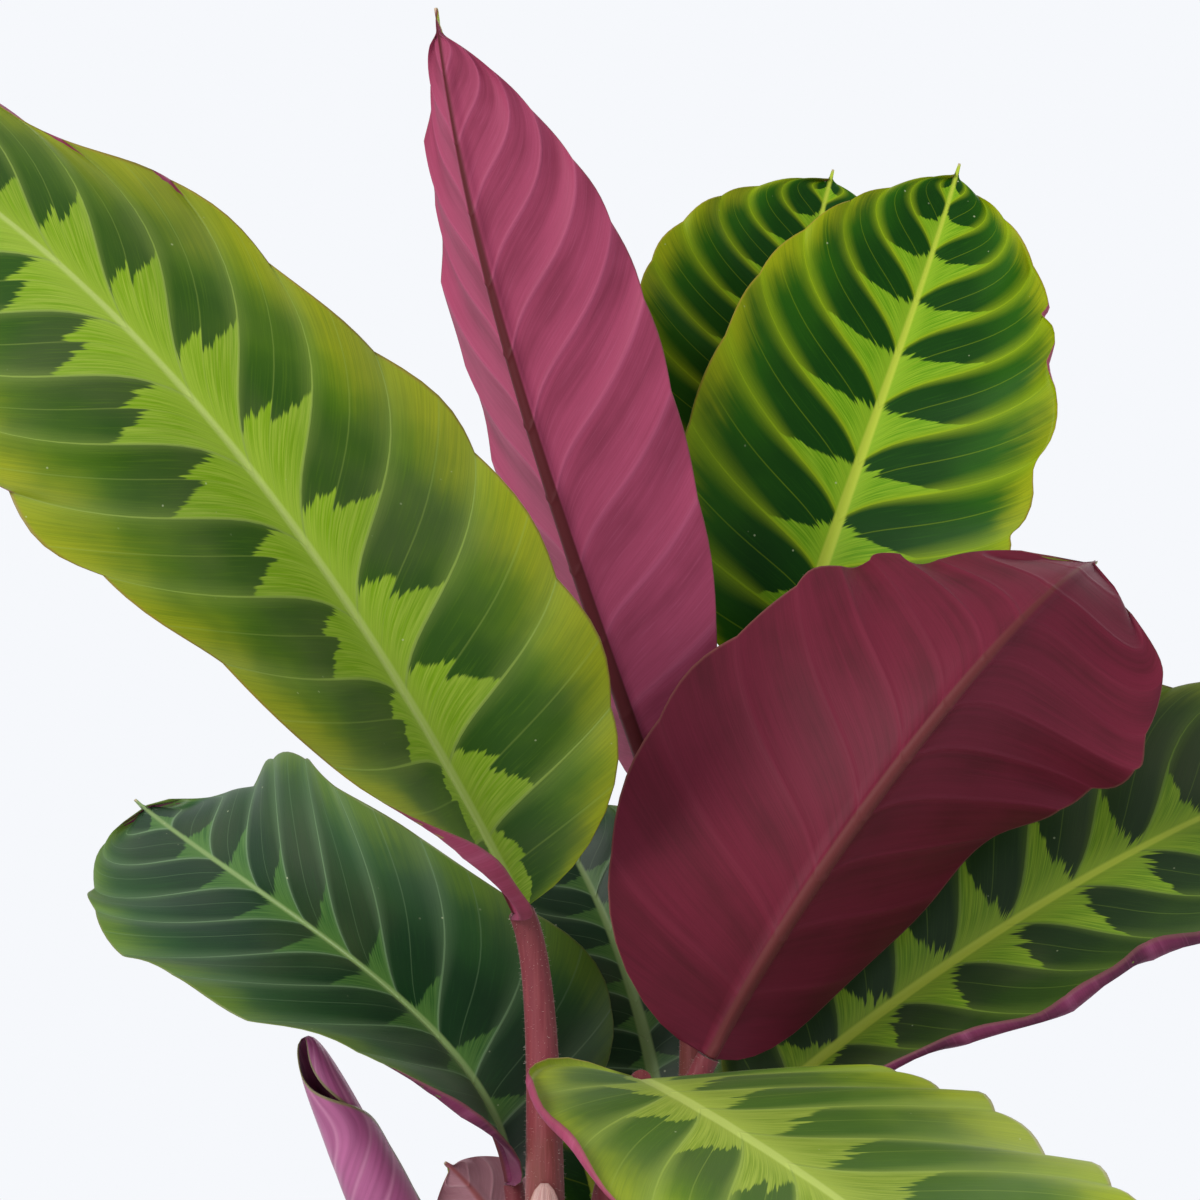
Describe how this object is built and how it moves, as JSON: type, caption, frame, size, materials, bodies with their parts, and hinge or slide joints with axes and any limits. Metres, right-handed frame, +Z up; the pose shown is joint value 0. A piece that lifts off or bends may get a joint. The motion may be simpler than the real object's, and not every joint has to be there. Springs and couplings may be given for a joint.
{
  "type": "potted calathea",
  "caption": "Potted calathea with velvety patterned leaves, green above and wine red beneath, on reddish stalks, in soil in a plain clay pot with a deep rim.",
  "frame": {"origin": "centre of the pot's underside", "axes": "+Z up, -Y towards the front of the plant"},
  "size_m": [0.4792, 0.4309, 0.6071],
  "materials": {
    "leaf": "velvety, dark green with yellow-green bands along the midrib above, wine red beneath",
    "new_leaf": "smooth pink-purple underside of a leaf still rolled",
    "stalk": "dusty reddish, finely hairy",
    "sheath": "papery, pale pink",
    "soil": "dark crumbly potting soil",
    "pot": "plain unglazed clay"
  },
  "bodies": {
    "root": {"back_left_blade": "leaf", "back_left_stalk": "stalk", "back_right_blade": "leaf", "back_right_stalk": "stalk", "centre_back_blade": "leaf", "centre_back_stalk": "stalk", "centre_small_blade": "leaf", "centre_small_stalk": "stalk", "centre_tall_blade": "leaf", "centre_tall_stalk": "stalk", "front_arching_blade": "leaf", "front_arching_stalk": "stalk", "left_front_blade": "leaf", "left_front_stalk": "stalk", "left_low_blade": "leaf", "left_low_stalk": "stalk", "left_young_blade": "leaf", "left_young_stalk": "stalk", "new_roll_blade": "new_leaf", "new_roll_stalk": "stalk", "pot": "pot", "right_back_blade": "leaf", "right_back_stalk": "stalk", "right_front_blade": "leaf", "right_front_stalk": "stalk", "right_low_blade": "leaf", "right_low_stalk": "stalk", "skirt_back_blade": "leaf", "skirt_back_stalk": "stalk", "skirt_front_left_blade": "leaf", "skirt_front_left_stalk": "stalk", "skirt_front_right_blade": "leaf", "skirt_front_right_stalk": "stalk", "skirt_left_blade": "leaf", "skirt_left_stalk": "stalk", "skirt_right_blade": "leaf", "skirt_right_stalk": "stalk", "soil": "soil", "stalk_sheath": "sheath"}
  },
  "joints": []
}
